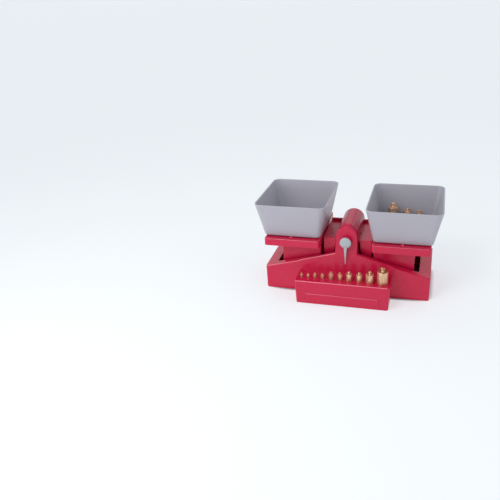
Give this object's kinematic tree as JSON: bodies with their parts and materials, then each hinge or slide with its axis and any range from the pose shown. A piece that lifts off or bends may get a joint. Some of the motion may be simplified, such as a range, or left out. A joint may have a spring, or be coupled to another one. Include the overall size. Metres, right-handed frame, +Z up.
{
  "type": "balance scale",
  "caption": "Two-pan balance scale with a rocking beam on a guided linkage, front pointer, lift-off tapered pans and brass knob weights in a rack.",
  "frame": {"origin": "on the surface the base stands on, under the middle of the whole scale's box", "axes": "+X along the beam towards the right pan, -Y towards the pointer and the weight rack, +Z up"},
  "size_m": [0.3238, 0.1793, 0.1667],
  "materials": {
    "body": "glossy raspberry red moulding",
    "pan": "satin light grey moulding",
    "pointer": "smooth light grey moulding",
    "weight": "polished turned brass",
    "pin": "plain ground steel",
    "bush": "matt dark grey bush"
  },
  "bodies": {
    "base": {"base_housing": "body", "front_bearing": "bush", "rear_bearing": "bush", "stay_pin": "pin"},
    "beam": {"beam": "body", "pivot_axle": "pin", "pointer": "pointer"},
    "stay": {"stay": "body"},
    "left_carrier": {"left_carrier": "body", "left_upper_pin": "pin", "left_lower_pin": "pin"},
    "left_pan": {"left_pan": "pan"},
    "right_carrier": {"right_carrier": "body", "right_upper_pin": "pin", "right_lower_pin": "pin"},
    "right_pan": {"right_pan": "pan"},
    "weight_1g_a": {"weight_1g_a": "weight"},
    "weight_1g_b": {"weight_1g_b": "weight"},
    "weight_2g_a": {"weight_2g_a": "weight"},
    "weight_2g_b": {"weight_2g_b": "weight"},
    "weight_5g_a": {"weight_5g_a": "weight"},
    "weight_5g_b": {"weight_5g_b": "weight"},
    "weight_10g_a": {"weight_10g_a": "weight"},
    "weight_10g_b": {"weight_10g_b": "weight"},
    "weight_20g": {"weight_20g": "weight"},
    "weight_50g": {"weight_50g": "weight"},
    "pan_weight_50g": {"pan_weight_50g": "weight"},
    "pan_weight_20g": {"pan_weight_20g": "weight"},
    "pan_weight_10g": {"pan_weight_10g": "weight"}
  },
  "joints": [
    {"name": "beam_tilt", "type": "hinge", "parent": "base", "child": "beam", "pos_m": [0, 0.0188, 0.102], "axis": [0, 1, 0], "range_deg": [-7, 7]},
    {"name": "stay_swing", "type": "hinge", "parent": "base", "child": "stay", "pos_m": [0, 0.0188, 0.044], "axis": [0, 1, 0], "range_deg": [-7.5, 7.5]},
    {"name": "left_carrier_swing", "type": "hinge", "parent": "beam", "child": "left_carrier", "pos_m": [-0.0976, 0.0188, 0.092], "axis": [0, 1, 0], "range_deg": [-7.5, 7.5]},
    {"name": "right_carrier_swing", "type": "hinge", "parent": "beam", "child": "right_carrier", "pos_m": [0.0976, 0.0188, 0.092], "axis": [0, 1, 0], "range_deg": [-7.5, 7.5]},
    {"name": "left_pan_lift", "type": "slide", "parent": "left_carrier", "child": "left_pan", "axis": [0, 0, 1], "range_m": [0, 0.05]},
    {"name": "right_pan_lift", "type": "slide", "parent": "right_carrier", "child": "right_pan", "axis": [0, 0, 1], "range_m": [0, 0.05]},
    {"name": "weight_1g_a_lift", "type": "slide", "parent": "base", "child": "weight_1g_a", "axis": [0, 0, 1], "range_m": [0, 0.04]},
    {"name": "weight_1g_b_lift", "type": "slide", "parent": "base", "child": "weight_1g_b", "axis": [0, 0, 1], "range_m": [0, 0.04]},
    {"name": "weight_2g_a_lift", "type": "slide", "parent": "base", "child": "weight_2g_a", "axis": [0, 0, 1], "range_m": [0, 0.04]},
    {"name": "weight_2g_b_lift", "type": "slide", "parent": "base", "child": "weight_2g_b", "axis": [0, 0, 1], "range_m": [0, 0.04]},
    {"name": "weight_5g_a_lift", "type": "slide", "parent": "base", "child": "weight_5g_a", "axis": [0, 0, 1], "range_m": [0, 0.04]},
    {"name": "weight_5g_b_lift", "type": "slide", "parent": "base", "child": "weight_5g_b", "axis": [0, 0, 1], "range_m": [0, 0.04]},
    {"name": "weight_10g_a_lift", "type": "slide", "parent": "base", "child": "weight_10g_a", "axis": [0, 0, 1], "range_m": [0, 0.04]},
    {"name": "weight_10g_b_lift", "type": "slide", "parent": "base", "child": "weight_10g_b", "axis": [0, 0, 1], "range_m": [0, 0.04]},
    {"name": "weight_20g_lift", "type": "slide", "parent": "base", "child": "weight_20g", "axis": [0, 0, 1], "range_m": [0, 0.04]},
    {"name": "weight_50g_lift", "type": "slide", "parent": "base", "child": "weight_50g", "axis": [0, 0, 1], "range_m": [0, 0.04]},
    {"name": "pan_weight_50g_lift", "type": "slide", "parent": "right_pan", "child": "pan_weight_50g", "axis": [0, 0, 1], "range_m": [0, 0.07]},
    {"name": "pan_weight_20g_lift", "type": "slide", "parent": "right_pan", "child": "pan_weight_20g", "axis": [0, 0, 1], "range_m": [0, 0.07]},
    {"name": "pan_weight_10g_lift", "type": "slide", "parent": "right_pan", "child": "pan_weight_10g", "axis": [0, 0, 1], "range_m": [0, 0.07]}
  ],
  "couplings": [
    {"joint": "stay_swing", "follows": "beam_tilt", "ratio": 1},
    {"joint": "left_carrier_swing", "follows": "beam_tilt", "ratio": -1},
    {"joint": "right_carrier_swing", "follows": "beam_tilt", "ratio": -1}
  ]
}
